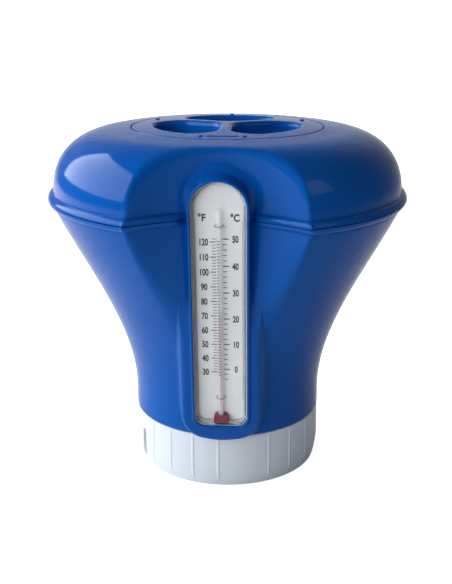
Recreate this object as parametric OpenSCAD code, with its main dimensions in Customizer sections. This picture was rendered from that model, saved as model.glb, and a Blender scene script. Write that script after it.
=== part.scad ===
// Floating pool tablet dispenser with a built-in water thermometer.
// Millimetres, +Z up. The origin is on the axis of the float, at the
// underside of the base grate, and the thermometer faces -Y.

/* [Float] */
// Radius of the float at its parting line, without the bead
float_r = 82; // [78:0.5:100]
// Height of the parting line between the two shells
seam_z = 130.5; // [120:0.5:160]
// Height of the crown above the parting line
crown_h = 31.8; // [28:0.2:42]
// Wall of both shells
shell_wall = 2.6; // [2:0.1:3.2]
// Radius of the half-round bead along the parting line
bead_r = 3; // [2:0.1:4]
// How far the centre of the bead sits inside the wall's face
bead_sink = 0.4; // [0:0.1:1]
// Gap between the two shells, seen as a line along the bead
seam_gap = 0.4; // [0.2:0.1:0.8]
// Height of the straight neck below the flare
neck_rise = 8.5; // [5:0.5:16]
// Radius of the scoop in front
scoop_r = 50; // [42:0.5:60]
// Lean of the scoop's wall, outwards at the top
scoop_lean = 4.4; // [0:0.1:8]

/* [Tablet chamber] */
// Bore radius, for tablets of 76 mm
chamber_r = 40; // [33:0.5:48]
// Wall of the chamber tube
tube_wall = 1.8; // [1.4:0.1:2.4]
// Width of the flange at the top of the tube
tube_flange_w = 4.8; // [3:0.1:5]
// Thickness of that flange
tube_flange_t = 2.2; // [1.6:0.1:3]
// Height of the weight ring that keeps the float upright
ballast_h = 12; // [8:0.5:18]
// Radial width of the weight ring
ballast_w = 4.6; // [3:0.1:4.8]
// Height at which the weight ring sits
ballast_z = 70; // [64:0.5:90]

/* [Flow ring] */
// Height of the flow ring
ring_h = 24.5; // [22:0.5:30]
// Wall of the flow ring
ring_wall = 2.2; // [1.8:0.1:3]
// Running gap between the ring and the tube
ring_gap = 0.35; // [0.3:0.05:0.6]
// Width of a vent window
vent_w = 3.7; // [2.5:0.1:4.5]
// Height of a vent window
vent_h = 13.5; // [8:0.5:15]
// Height of the lower end of the windows
vent_z = 3.4; // [3:0.1:5]
// Grip ribs around a full turn
rib_count = 23; // [18:1:30]
// How far a rib stands out
rib_proud = 0.35; // [0.2:0.05:0.8]
// Thickness of the base grate
grate_t = 2.2; // [1.8:0.1:3]
// Number of slots in the base grate
grate_slots = 12; // [8:1:16]

/* [Lid] */
// Gap around the lid in its mouth
lid_gap = 0.35; // [0.3:0.05:0.6]
// How far the middle of the lid stands above its edge
lid_crown = 1.7; // [0.8:0.1:3]
// Depth of the finger wells
well_depth = 14; // [10:0.5:16]
// Radius that the finger wells reach
well_reach = 34.7; // [28:0.1:36]
// Corner radius of the wells
well_corner = 7; // [5:0.5:8]
// Width of the three ridges between the wells
ridge_w = 6.5; // [5:0.5:9]
// Wall of the lid
lid_wall = 1.8; // [1.4:0.1:2.2]
// Rise of the lid for a full turn
lid_lead = 45; // [36:1:60]

/* [Thermometer] */
// Width of the clear cover
cover_w = 23.1; // [19:0.1:28]
// How far the clear cover reaches above the parting line, along its face
cover_over = 17.97; // [14:0.01:22]
// Depth of the clear cover, front to back
cover_depth = 5.8; // [5:0.1:6.5]
// Lean of the thermometer, outwards at the top
cover_lean = 9.4; // [6:0.1:11]
// How far the cover's foot stands in front of the neck
cover_proud = 5.1; // [4.5:0.1:7]
// Height of the cover's foot above the neck's lower edge
cover_foot_rise = 7.5; // [5:0.5:12]
// Wall of the clear cover
cover_wall = 0.9; // [0.7:0.1:1.2]
// Width of the raised collar around the cover
collar_w = 2; // [1.2:0.1:3]
// How far the collar stands in front of the cover
collar_proud = 0.8; // [0.2:0.1:1.5]
// Width of the boss that carries the thermometer on the neck
boss_w = 36.4; // [33:0.2:40]
// Radius of the glass tube
tube_r = 1.35; // [1:0.05:1.5]
// Radius of the bore in the glass tube
bore_r = 0.45; // [0.25:0.05:0.6]
// Temperature that the thermometer shows, in degrees Celsius
shown_c = 23; // [0:1:45]
// Length of one degree Celsius on the scale
degree_len = 1.262; // [0.9:0.001:1.3]

/* [Hidden] */
$fn = 96;
eps = 0.01;
far = 400;
fit = 0.3;                  // gap of a slip fit between fixed pieces
blue = [0.0, 0.30, 0.66];
off_white = [0.82, 0.85, 0.88];
dark_rubber = [0.12, 0.12, 0.13];

// Radii that follow from the chamber
tube_out_r = chamber_r + tube_wall;
neck_bore_r = tube_out_r + fit;
neck_r = neck_bore_r + shell_wall;
ring_in_r = tube_out_r + ring_gap;
ring_out_r = ring_in_r + ring_wall;
mouth_r = tube_out_r + 3.5;
mouth_wall = 2.4;
lid_r = mouth_r - lid_gap;

// Heights that follow from the float and the ring
crown_z = seam_z + crown_h;
ring_z = 0.6;
ring_top_z = ring_z + ring_h;
neck_z = ring_top_z + 0.4;
flare_z = neck_z + neck_rise;
cover_foot_z = neck_z + cover_foot_rise;
cover_len = (seam_z - cover_foot_z) / cos(cover_lean) + cover_over;
ledge_t = 2;
ledge_z = crown_z - 20.9;
seal_t = 0.6;
tube_top_z = ledge_z - seal_t;
lid_seal_t = 1;
skirt_z = ledge_z + ledge_t + lid_seal_t;

// Curves of the float, each four control points of [radius, height]
shoulder_z = seam_z + bead_r;
flank = [[neck_r, flare_z], [neck_r, flare_z + 32], [float_r - 14, seam_z - 32.5],
         [float_r, seam_z - bead_r]];
dome = [[float_r, shoulder_z], [float_r, seam_z + 19.5], [float_r - 10, crown_z - 2.5],
        [mouth_r + 10.7, crown_z - 1]];
curve_steps = 14;

// Place of the thermometer: its foot, its frame and its pocket
foot_y = neck_r + cover_proud;
pocket_fit = 0.15;
gasket_t = 0.7;
pocket_depth = cover_depth + gasket_t;
pocket_wall = 1.9;
foot_corner = 4.5;
plate_t = 0.8;
plate_back = cover_depth - plate_t;
tube_y = plate_back - plate_t - tube_r;
// Front face of the thermometer at a height, as a distance from the axis
function face_at(z) = foot_y + (z - cover_foot_z) * tan(cover_lean);
scoop_back = pocket_depth + pocket_wall + 0.2;
scoop_y = face_at(seam_z) - scoop_back + scoop_r;

function bezier(p, t) = pow(1 - t, 3) * p[0] + 3 * pow(1 - t, 2) * t * p[1]
    + 3 * (1 - t) * t * t * p[2] + pow(t, 3) * p[3];
function heading(p, t) = let (d = pow(1 - t, 2) * (p[1] - p[0])
    + 2 * (1 - t) * t * (p[2] - p[1]) + t * t * (p[3] - p[2])) d / norm(d);
// Points along a curve, moved inwards at right angles to it
function curve(p, inset) = [for (i = [0 : curve_steps])
    let (t = i / curve_steps, d = heading(p, t)) bezier(p, t) + inset * [-d[1], d[0]]];

// Puts its children in the thermometer's own frame: +Z up its face, -Y out of it
module on_face() translate([0, -foot_y, cover_foot_z]) rotate([cover_lean, 0, 0]) children();

// A plate of a flat outline in XZ, from y0 back to y1
module plate(y0, y1) translate([0, y1, 0]) rotate([90, 0, 0]) linear_extrude(y1 - y0) children();

// A ring of rectangular section
module band(r_in, r_out, z0, z1)
    rotate_extrude() translate([r_in, z0]) square([r_out - r_in, z1 - z0]);

// Outline of the cover: round top, small corners at the foot, grown all round
module arch(grow = 0) {
    w = cover_w + 2 * grow;
    c = foot_corner + grow;
    translate([0, -grow]) {
        translate([-w / 2, c]) square([w, cover_len + 2 * grow - w / 2 - c]);
        translate([0, cover_len + 2 * grow - w / 2]) circle(w / 2);
        translate([-w / 2 + c, 0]) square([w - 2 * c, 2 * c]);
        for (s = [-1, 1]) translate([s * (w / 2 - c), c]) circle(c);
    }
}

// The float as a turned solid, its surface moved inwards by the inset
module turned_body(inset = 0)
    rotate_extrude() polygon(concat(
        [[0, neck_z + inset], [neck_r - inset, neck_z + inset]],
        curve(flank, inset), curve(dome, inset),
        [[mouth_r, crown_z - inset], [0, crown_z - inset]]));

// The round scoop in front, its wall thickened by the grow value
module scoop(grow = 0)
    translate([0, -scoop_y, seam_z]) rotate([scoop_lean, 0, 0])
        cylinder(h = 200, r = scoop_r + grow, center = true);

// Half-round bead along the parting line, around the float and into the scoop
module bead() {
    difference() {
        translate([0, 0, seam_z]) rotate_extrude()
            translate([float_r - bead_sink, 0]) circle(bead_r, $fn = 48);
        scoop();
    }
    intersection() {
        translate([0, -scoop_y, seam_z]) rotate_extrude()
            translate([scoop_r + bead_sink, 0]) circle(bead_r, $fn = 48);
        translate([0, 0, seam_z - 10]) cylinder(h = 20, r = float_r);
        translate([-far / 2, -float_r, seam_z - 10]) cube([far, float_r, 20]);
    }
}

boss_corner = 8.5;
boss_drop = 7.3;
boss_top = 62;
boss_deep = 14;
boss_face = 0.5;
// Boss on the neck and the taller housing around the cover
module boss() on_face() {
    plate(boss_face, boss_deep) translate([0, -boss_drop]) {
        translate([-boss_w / 2, boss_corner]) square([boss_w, boss_top]);
        translate([-boss_w / 2 + boss_corner, 0]) square([boss_w - 2 * boss_corner, 2 * boss_corner]);
        for (s = [-1, 1]) translate([s * (boss_w / 2 - boss_corner), boss_corner]) circle(boss_corner);
    }
    plate(-collar_proud, boss_deep) arch(collar_w);
}

module pocket() on_face() plate(-far / 10, pocket_depth) arch(pocket_fit);

// Outside of both shells
module outer_form() {
    difference() {
        turned_body();
        scoop();
    }
    bead();
    boss();
}

// Hollow between the shells and the chamber
module cavity() difference() {
    turned_body(shell_wall);
    scoop(shell_wall);
    on_face() plate(-far / 10, pocket_depth + pocket_wall) arch(pocket_fit + pocket_wall);
}

groove_fit = 0.1;
seam_groove_w = 1;
seam_groove_h = 1.2;
// Flat outline of the float at the parting line, moved inwards
module seam_outline(inset) difference() {
    circle(float_r - inset);
    translate([0, -scoop_y]) circle(scoop_r + inset);
    half = cover_w / 2 + pocket_fit + inset;
    translate([-half, -far]) square([2 * half, far - face_at(seam_z) + pocket_depth + inset]);
}
// Strip that follows that outline inside the wall
module seam_strip(spare) translate([0, 0, seam_z - seam_groove_h / 2 - spare])
    linear_extrude(seam_groove_h + 2 * spare) difference() {
        seam_outline((shell_wall - seam_groove_w) / 2 - spare);
        seam_outline((shell_wall + seam_groove_w) / 2 + spare);
    }

base_seal_z = neck_z + 3;
base_seal_h = 2;
base_seal_w = 1.2;
module lower_shell() color(blue) difference() {
    outer_form();
    cavity();
    translate([0, 0, seam_z - seam_gap / 2]) cylinder(h = far, r = far);
    cylinder(h = seam_z, r = neck_bore_r);
    pocket();
    seam_strip(groove_fit);
    band(neck_bore_r - 1, neck_bore_r + base_seal_w, base_seal_z, base_seal_z + base_seal_h);
}

// Three hooks hold the lid. Each underside climbs at the pitch of the lid's turn.
hook_r = mouth_r - 2;
hook_span = 30;
hook_steps = 3;
hook_lap = 0.5;
hook_t = 2.4;
lug_span = 10;
lug_t = 2.6;
lug_top_z = skirt_z + 5.8;
hook_gap = 0.3;
rise_per_degree = lid_lead / 360;
module lid_hooks() for (k = [0 : 2], i = [0 : hook_steps - 1])
    let (step = hook_span / hook_steps, a = i * step - hook_span / 2)
    rotate([0, 0, 120 * k + 90 + a - hook_lap])
        translate([0, 0, lug_top_z + hook_gap + rise_per_degree * max(0, a + step + lug_span / 2)])
            rotate_extrude(angle = step + hook_lap) translate([hook_r, 0]) square([mouth_r - hook_r + 1, hook_t]);

module upper_shell() color(blue) {
    difference() {
        union() {
            difference() {
                outer_form();
                cavity();
            }
            band(chamber_r, mouth_r + mouth_wall, ledge_z, crown_z - shell_wall / 2);
        }
        translate([0, 0, seam_z + seam_gap / 2 - far]) cylinder(h = far, r = far);
        cylinder(h = far, r = chamber_r + 0.2);
        translate([0, 0, ledge_z + ledge_t]) cylinder(h = far, r = mouth_r);
        pocket();
        seam_strip(groove_fit);
    }
    lid_hooks();
}

module seam_gasket() color(dark_rubber) seam_strip(0);

tube_z = ring_z + grate_t;
vent_first = -61.9;
vent_pitch = 360 / rib_count;
vents_per_side = 3;
// Cutters for the vent windows, in two groups on opposite sides
module vents(r_in, r_out) for (side = [0, 180], k = [0 : vents_per_side - 1])
    rotate([0, 0, vent_first - k * vent_pitch + side]) translate([0, -r_out, vent_z]) {
        translate([-vent_w / 2, 0, vent_w / 2]) cube([vent_w, r_out - r_in, vent_h - vent_w]);
        for (z = [vent_w / 2, vent_h - vent_w / 2])
            translate([0, r_out - r_in, z]) rotate([90, 0, 0]) cylinder(h = r_out - r_in, d = vent_w);
    }

drag_z = ring_top_z - 4.5;
drag_h = 1.6;
drag_deep = 0.9;
module chamber_tube() color(off_white) difference() {
    union() {
        band(chamber_r, tube_out_r, tube_z, tube_top_z);
        band(chamber_r + tube_wall / 2, tube_out_r + tube_flange_w, tube_top_z - tube_flange_t, tube_top_z);
    }
    vents(chamber_r - 2, tube_out_r + 2);
    band(tube_out_r - drag_deep, tube_out_r + 1, drag_z - groove_fit, drag_z + drag_h + groove_fit);
}

module tube_top_seal() color(dark_rubber)
    band(tube_out_r + 0.6, tube_out_r + tube_flange_w - 0.6, tube_top_z, ledge_z);

module tube_base_seal() color(dark_rubber)
    band(tube_out_r + 0.05, neck_bore_r + base_seal_w - groove_fit,
         base_seal_z + groove_fit, base_seal_z + base_seal_h - groove_fit);

module ballast_ring() color([0.45, 0.46, 0.48])
    band(tube_out_r, tube_out_r + ballast_w, ballast_z, ballast_z + ballast_h);

grate_hub_r = 9;
grate_spigot_h = 3.2;
grate_slot_w = 3.4;
ring_lip_gap = 0.3;
grate_r = ring_in_r + 0.8;
module base_grate() color(off_white) difference() {
    union() {
        cylinder(h = tube_z, r = tube_out_r - 0.2);
        cylinder(h = grate_t, r = grate_r);
        band(chamber_r - 1.6, chamber_r - 0.1, tube_z - eps, tube_z + grate_spigot_h);
    }
    for (k = [0 : grate_slots - 1]) rotate([0, 0, 360 * (k + 0.5) / grate_slots])
        translate([grate_hub_r + 1, -grate_slot_w / 2, -1])
            cube([chamber_r - grate_hub_r - 7, grate_slot_w, grate_t + 4]);
    vents(chamber_r - 4, tube_out_r + 2);
}

ring_foot_chamfer = 0.8;
rib_foot_z = 3.2;
rib_w = 1;
rib_start = -2.2;
blank_rib = 1;
// Flow ring: a sleeve with windows, thin ribs and a rebate over the grate's edge
module flow_ring() color(off_white) difference() {
    union() {
        rotate_extrude() polygon([
            [ring_in_r, ring_z], [ring_out_r - ring_foot_chamfer, ring_z],
            [ring_out_r, ring_z + ring_foot_chamfer], [ring_out_r, ring_top_z],
            [ring_in_r, ring_top_z]]);
        for (k = [0 : rib_count - 1])
            if (k != blank_rib) rotate([0, 0, rib_start + k * 360 / rib_count])
                translate([-rib_w / 2, -ring_out_r - rib_proud, rib_foot_z])
                    cube([rib_w, rib_proud + ring_wall / 2, ring_top_z - rib_foot_z - 0.6]);
    }
    band(ring_in_r - 1, grate_r + ring_gap, 0, grate_t + ring_lip_gap);
    vents(tube_out_r - 1, ring_out_r + 2);
}

module drag_band() color(dark_rubber)
    band(tube_out_r - drag_deep + 0.02, ring_in_r - 0.1, drag_z, drag_z + drag_h);

// Outline of the three finger wells, made wider by the grow value
module well_outline(grow = 0) {
    lean_in = ridge_w / 2 + well_corner;
    reach = well_reach - well_corner;
    spread = 60 - asin(lean_in / reach);
    for (k = [0 : 2]) rotate([0, 0, 90 + 120 * k]) hull() {
        translate([lean_in / sin(60), 0]) circle(well_corner + grow, $fn = 32);
        for (i = [-3 : 3]) rotate([0, 0, i / 3 * spread])
            translate([reach, 0]) circle(well_corner + grow, $fn = 32);
    }
}

lid_edge_t = 2.2;
skirt_out_r = hook_r - 0.4;
well_floor_z = crown_z - well_depth;
lug_r = mouth_r - 0.45;
mark_y = 38.4;
mark_half = 9.6;
pip_r = 1.1;
// Height of the lid's top at a distance from the axis
function lid_top(r) = crown_z + lid_crown * (1 - pow(r / lid_r, 2));
module lid() color(blue) {
    difference() {
        union() {
            rotate_extrude() polygon(concat(
                [[0, crown_z - lid_edge_t], [lid_r, crown_z - lid_edge_t]],
                [for (i = [0 : 8]) let (r = lid_r * (1 - i / 8)) [r, lid_top(r) - 0.4 * (i == 0 ? 1 : 0)]]));
            band(skirt_out_r - lid_wall, skirt_out_r, skirt_z, crown_z - lid_edge_t + eps);
            translate([0, 0, well_floor_z - lid_wall])
                linear_extrude(well_depth - lid_edge_t + lid_wall + eps) well_outline(lid_wall);
            for (k = [0 : 2]) rotate([0, 0, 120 * k + 90 - lug_span / 2])
                rotate_extrude(angle = lug_span) translate([skirt_out_r - lid_wall / 2, lug_top_z - lug_t])
                    square([lug_r - skirt_out_r + lid_wall / 2, lug_t]);
        }
        translate([0, 0, well_floor_z]) linear_extrude(well_depth + 10) well_outline();
        translate([-mark_half, -mark_y - 0.5, lid_top(mark_y) - 0.6]) cube([2 * mark_half, 1, 5]);
    }
    for (s = [-1, 1]) translate([s * mark_half, -mark_y, lid_top(mark_y) - 1]) cylinder(h = 1.6, r = pip_r);
    for (a = [180, 117, -117]) rotate([0, 0, a])
        translate([0, -mark_y - 1.2, lid_top(mark_y) - 1]) cylinder(h = 1.6, r = pip_r);
}

module lid_seal() color(dark_rubber)
    band(skirt_out_r - lid_wall, skirt_out_r + 0.2, skirt_z - lid_seal_t, skirt_z);

// Clear cover: a shallow box, open at the back
module window_cover() color([0.85, 0.9, 0.92, 0.35]) on_face() difference() {
    plate(0, cover_depth) arch();
    plate(cover_wall, cover_depth + 1) arch(-cover_wall);
}

module window_gasket() color([0.9, 0.9, 0.9]) on_face() plate(cover_depth, pocket_depth) difference() {
    arch(-0.1);
    arch(-2);
}

card_fit = 0.1;
module case_back() color([0.9, 0.9, 0.9]) on_face()
    plate(plate_back, cover_depth) arch(-cover_wall - card_fit);

module scale_plate() color([0.86, 0.87, 0.88]) on_face()
    plate(plate_back - plate_t, plate_back) arch(-cover_wall - card_fit);

// Glass tube with a closed bulb end, standing on the foot of the scale
zero_z = 27;
bulb_z = 3.2;
tube_end_z = cover_len - 12.8;
column_top_z = zero_z + shown_c * degree_len;
module tube_frame() on_face() translate([0, tube_y, 0]) children();
module glass_tube() color([0.85, 0.93, 0.95, 0.4]) tube_frame() difference() {
    union() {
        translate([0, 0, bulb_z]) cylinder(h = tube_end_z - bulb_z, r = tube_r, $fn = 48);
        translate([0, 0, bulb_z]) sphere(tube_r, $fn = 48);
    }
    translate([0, 0, bulb_z]) cylinder(h = tube_end_z - bulb_z - 2, r = bore_r, $fn = 32);
    translate([0, 0, bulb_z]) sphere(tube_r - 0.4, $fn = 48);
}

module red_liquid() color([0.75, 0.1, 0.15]) tube_frame() {
    translate([0, 0, bulb_z]) cylinder(h = column_top_z - bulb_z, r = bore_r - 0.02, $fn = 32);
    translate([0, 0, bulb_z]) sphere(tube_r - 0.42, $fn = 48);
}

cap_half = 3.3;
cap_hump = 2;
cap_side_z = 3;
// Red cap over the bulb, with two humps at its top
module bulb_cap() color([0.48, 0.05, 0.1]) on_face() difference() {
    plate(cover_wall + 0.2, plate_back - plate_t) translate([0, cover_wall + 0.1]) {
        translate([-cap_half, 0]) square([2 * cap_half, cap_side_z - 1]);
        for (s = [-1, 1]) translate([s * (cap_half - cap_hump), cap_side_z - 1]) circle(cap_hump, $fn = 48);
    }
    translate([0, tube_y, bulb_z]) {
        cylinder(h = 20, r = tube_r + 0.05, $fn = 48);
        sphere(tube_r + 0.05, $fn = 48);
    }
}

wire_r = 0.3;
clip_z = [13.3, cover_len - 20.3];
// Two wire staples that hold the glass tube on the scale
module tube_clips() color([0.7, 0.7, 0.72]) tube_frame() for (z = clip_z) translate([0, 0, z]) {
    leg_x = tube_r + wire_r + 0.05;
    rotate([0, 0, 180]) rotate_extrude(angle = 180) translate([leg_x, 0]) circle(wire_r, $fn = 24);
    for (s = [-1, 1]) translate([s * leg_x, tube_r, 0]) rotate([90, 0, 0]) cylinder(h = tube_r, r = wire_r, $fn = 24);
}

lower_shell();
upper_shell();
seam_gasket();
chamber_tube();
tube_top_seal();
tube_base_seal();
ballast_ring();
base_grate();
flow_ring();
drag_band();
lid();
lid_seal();
window_cover();
window_gasket();
case_back();
scale_plate();
glass_tube();
red_liquid();
bulb_cap();
tube_clips();
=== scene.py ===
"""Looks of the floating pool thermometer: its soft shells, lid, ring, scale and stage.

The CAD pieces come from the frame. The pieces made here are worked out in millimetres with
numpy and written to their meshes in metres, in the same place as the CAD pieces they replace.
Angles round the float are counted from -Y, where the thermometer is, towards +X.
"""

import math

import bmesh
import bpy
import numpy as np
from bpy.props import FloatProperty, FloatVectorProperty, IntProperty, PointerProperty
from bpy.types import Operator, Panel, PropertyGroup
from mathutils import Euler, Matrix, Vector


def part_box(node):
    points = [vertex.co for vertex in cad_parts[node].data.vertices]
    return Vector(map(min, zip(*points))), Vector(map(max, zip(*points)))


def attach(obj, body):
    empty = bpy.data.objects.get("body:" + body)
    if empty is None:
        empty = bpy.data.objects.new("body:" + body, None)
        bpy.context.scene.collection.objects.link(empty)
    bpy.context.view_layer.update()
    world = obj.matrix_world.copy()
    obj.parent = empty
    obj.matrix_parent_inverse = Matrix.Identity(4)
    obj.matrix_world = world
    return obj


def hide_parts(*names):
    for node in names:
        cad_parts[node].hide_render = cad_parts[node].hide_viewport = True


bl_info = {
    "name": "Pool Thermometer",
    "version": (1, 0, 0),
    "blender": (4, 5, 0),
    "location": "View3D > Sidebar > Pool",
    "description": "Builds the visible pieces of a floating pool thermometer",
    "category": "Object",
}

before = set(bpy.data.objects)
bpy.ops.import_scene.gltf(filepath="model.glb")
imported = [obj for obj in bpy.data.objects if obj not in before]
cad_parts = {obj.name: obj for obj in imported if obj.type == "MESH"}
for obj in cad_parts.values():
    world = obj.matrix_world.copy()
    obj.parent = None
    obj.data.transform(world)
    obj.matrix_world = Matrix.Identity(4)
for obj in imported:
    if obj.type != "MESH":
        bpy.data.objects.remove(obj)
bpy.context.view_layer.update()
MM = 0.001


def cad_box(node):
    """Lowest and highest corner of a CAD node, in millimetres."""
    low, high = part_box(node)
    return np.array(low) / MM, np.array(high) / MM


# Places and sizes that the frame gives, in millimetres
LOWER_LOW, LOWER_HIGH = cad_box("lower_shell")
UPPER_LOW, UPPER_HIGH = cad_box("upper_shell")
LID_HIGH = cad_box("lid")[1]
RING_LOW, RING_HIGH = cad_box("flow_ring")
COVER_LOW, COVER_HIGH = cad_box("window_cover")
SEAM_Z = (LOWER_HIGH[2] + UPPER_LOW[2]) / 2
SEAM_GAP = UPPER_LOW[2] - LOWER_HIGH[2]
NECK_Z = LOWER_LOW[2]
CROWN_Z = UPPER_HIGH[2]
LID_R = LID_HIGH[0]
MOUTH_R = LID_R + 0.35
TUBE_R = 41.8
WALL = 2.6
NECK_BORE_R = TUBE_R + 0.3
NECK_R = NECK_BORE_R + WALL
FLARE_Z = 34.0
BEAD_R = 3.0
BEAD_SINK = 0.4
FLOAT_R = LOWER_HIGH[0] + BEAD_SINK - BEAD_R
LEDGE_Z = CROWN_Z - 20.9
LEDGE_T = 2.0
SKIRT_Z = LEDGE_Z + LEDGE_T + 1.0
CROWN_FLAT = 10.7

# The thermometer's own frame: its foot, its lean and the outline of its cover
LEAN = math.radians(9.4)
COVER_DEPTH = 5.8
COVER_HALF = COVER_HIGH[0]
FOOT_Z = COVER_LOW[2]
FOOT_Y = COVER_DEPTH * math.cos(LEAN) - COVER_HIGH[1]
COVER_LEN = (COVER_HIGH[2] - FOOT_Z - COVER_DEPTH * math.sin(LEAN)) / math.cos(LEAN)
FOOT_CORNER = 4.5
POCKET_DEPTH = 6.5
POCKET_FIT = 0.15
PLATE_FRONT = 4.2
SCOOP_R = 50.0
SCOOP_LEAN = math.radians(4.4)
SCOOP_Y = FOOT_Y + (SEAM_Z - FOOT_Z) * math.tan(LEAN) - 8.6 + SCOOP_R

# Curves of the float, each four control points of radius and height
FLANK = ((NECK_R, FLARE_Z), (NECK_R, FLARE_Z + 32), (FLOAT_R - 14, SEAM_Z - 32.5),
         (FLOAT_R, SEAM_Z - BEAD_R - 0.8))
DOME = ((FLOAT_R, SEAM_Z + BEAD_R + 0.8), (FLOAT_R, SEAM_Z + 19.5), (FLOAT_R - 10, CROWN_Z - 2.5),
        (MOUTH_R + CROWN_FLAT, CROWN_Z - 1))


# ---------------------------------------------------------------- settings

class FloatSettings(PropertyGroup):
    """Shape and colour of the two shells."""
    rim_softness: FloatProperty(
        name="Rim softness", description="Width of the rounding at the scoop's rim",
        default=0.01, min=0.002, max=0.02, unit="LENGTH")
    fillet: FloatProperty(
        name="Boss fillet", description="Radius where the thermometer's boss meets the neck",
        default=0.003, min=0.0005, max=0.005, unit="LENGTH")
    boss_half: FloatProperty(
        name="Boss half width", description="Half the width of the boss on the neck",
        default=0.0182, min=0.015, max=0.02, unit="LENGTH")
    collar: FloatProperty(
        name="Collar width", description="Width of the raised collar around the clear cover",
        default=0.0014, min=0.001, max=0.003, unit="LENGTH")
    colour: FloatVectorProperty(
        name="Shell colour", description="Colour of the shells and the lid",
        default=(0.0006, 0.082, 0.38), subtype="COLOR", min=0, max=1)


class LidSettings(PropertyGroup):
    """Shape of the lid's finger wells."""
    well_depth: FloatProperty(
        name="Well depth", description="Depth of the finger wells",
        default=0.014, min=0.008, max=0.015, unit="LENGTH")
    lip: FloatProperty(
        name="Lip radius", description="Radius of the rounded lip of each well",
        default=0.0022, min=0.0005, max=0.0028, unit="LENGTH")
    ridge: FloatProperty(
        name="Ridge width", description="Width of the ridges between the wells",
        default=0.0065, min=0.005, max=0.009, unit="LENGTH")


class RingSettings(PropertyGroup):
    """Shape and colour of the flow ring."""
    rib_count: IntProperty(
        name="Ribs", description="Places for grip ribs around the ring", default=23, min=12, max=40)
    rib_height: FloatProperty(
        name="Rib height", description="How far a rib stands out",
        default=0.00035, min=0.0001, max=0.0008, unit="LENGTH")
    colour: FloatVectorProperty(
        name="Ring colour", description="Colour of the ring and the chamber",
        default=(0.66, 0.72, 0.79), subtype="COLOR", min=0, max=1)


class ScaleSettings(PropertyGroup):
    """Colours of the thermometer."""
    plate: FloatVectorProperty(
        name="Scale colour", description="Colour of the scale plate",
        default=(0.72, 0.73, 0.735), subtype="COLOR", min=0, max=1)
    ink: FloatVectorProperty(
        name="Ink colour", description="Colour of the printed scale",
        default=(0.012, 0.013, 0.016), subtype="COLOR", min=0, max=1)
    spirit: FloatVectorProperty(
        name="Liquid colour", description="Colour of the dyed spirit",
        default=(0.60, 0.012, 0.035), subtype="COLOR", min=0, max=1)


class StageSettings(PropertyGroup):
    """Camera, floor and light."""
    distance: FloatProperty(
        name="Camera distance", description="Distance of the camera from the float's axis",
        default=0.4564, min=0.2, max=2, unit="LENGTH")
    height: FloatProperty(
        name="Camera height", description="Height of the camera above the floor",
        default=0.223, min=0.05, max=1, unit="LENGTH")
    turn: FloatProperty(
        name="Camera turn", description="Turn of the camera to the right of the front",
        default=math.radians(3.3), subtype="ANGLE")
    pitch: FloatProperty(
        name="Camera pitch", description="How far the camera looks down",
        default=math.radians(13.12), subtype="ANGLE")
    lens: FloatProperty(
        name="Lens", description="Focal length of the camera in millimetres",
        default=60.0164, min=10, max=300)
    shift: FloatVectorProperty(
        name="Lens shift", description="Shift of the camera's frame, across and up",
        size=2, default=(-0.0024, -0.12329))
    floor: FloatVectorProperty(
        name="Floor colour", description="Colour of the floor and the backdrop",
        default=(0.80, 0.805, 0.81), subtype="COLOR", min=0, max=1)


# ---------------------------------------------------------------- numbers and grids

def smooth(edge0, edge1, value):
    """A smooth step: 3t^2 - 2t^3 with t the clamped place of value between the edges."""
    t = np.clip((value - edge0) / (edge1 - edge0), 0, 1)
    return t * t * (3 - 2 * t)


def soft_min(a, b, width):
    """The lower of two values, rounded where they differ by less than the width."""
    near = np.clip(width - np.abs(a - b), 0, None) / width
    return np.minimum(a, b) - near ** 3 * width / 6


def bezier(points, count):
    """Points of a cubic curve: the four points weighed by the Bernstein polynomials."""
    p = np.asarray(points, float)
    t = np.linspace(0, 1, count)[:, None]
    return (1 - t) ** 3 * p[0] + 3 * (1 - t) ** 2 * t * p[1] + 3 * (1 - t) * t * t * p[2] + t ** 3 * p[3]


def inset_curve(points, count, inset):
    """A cubic curve moved to its left side, at right angles to its run."""
    curve = bezier(points, count)
    run = np.gradient(curve, axis=0)
    run /= np.linalg.norm(run, axis=1)[:, None]
    return curve + inset * np.stack([-run[:, 1], run[:, 0]], 1)


def bend(start, knee, end, t):
    """A quadratic curve from start to end, pulled towards the knee."""
    return (1 - t) ** 2 * start + 2 * t * (1 - t) * knee + t * t * end


def quarter(count):
    """Sine and cosine of angles from 0 to 90 degrees."""
    a = np.linspace(0, math.pi / 2, count)
    return np.sin(a), np.cos(a)


def grid_faces(rows, columns, wrap_rows=False, wrap_columns=False):
    """Corner numbers of the quads of a grid, with its ends joined where it wraps."""
    i = np.arange(rows if wrap_rows else rows - 1)
    j = np.arange(columns if wrap_columns else columns - 1)
    i, j = np.meshgrid(i, j, indexing="ij")
    i2, j2 = (i + 1) % rows, (j + 1) % columns
    quads = np.stack([i * columns + j, i2 * columns + j, i2 * columns + j2, i * columns + j2], -1)
    return quads.reshape(-1, 4)


def join(parts):
    """Several (points, faces) pairs as one pair."""
    points, faces, start = [], [], 0
    for p, f in parts:
        p = np.asarray(p, float).reshape(-1, 3)
        points.append(p)
        faces.append(f + start)
        start += len(p)
    return np.concatenate(points), np.concatenate(faces)


def polar(radius, angle, height):
    """Points at a radius, at an angle counted from -Y towards +X, and at a height."""
    return np.stack([radius * np.sin(angle), -radius * np.cos(angle), height + 0 * angle], -1)


def turned(profile, count, wrap=False):
    """A profile of radius and height carried once round the Z axis."""
    profile = np.asarray(profile, float)
    a = np.linspace(0, 2 * math.pi, count, endpoint=False)[:, None]
    points = polar(profile[:, 0][None], a, profile[:, 1][None])
    return points, grid_faces(count, len(profile), True, wrap)


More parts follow.
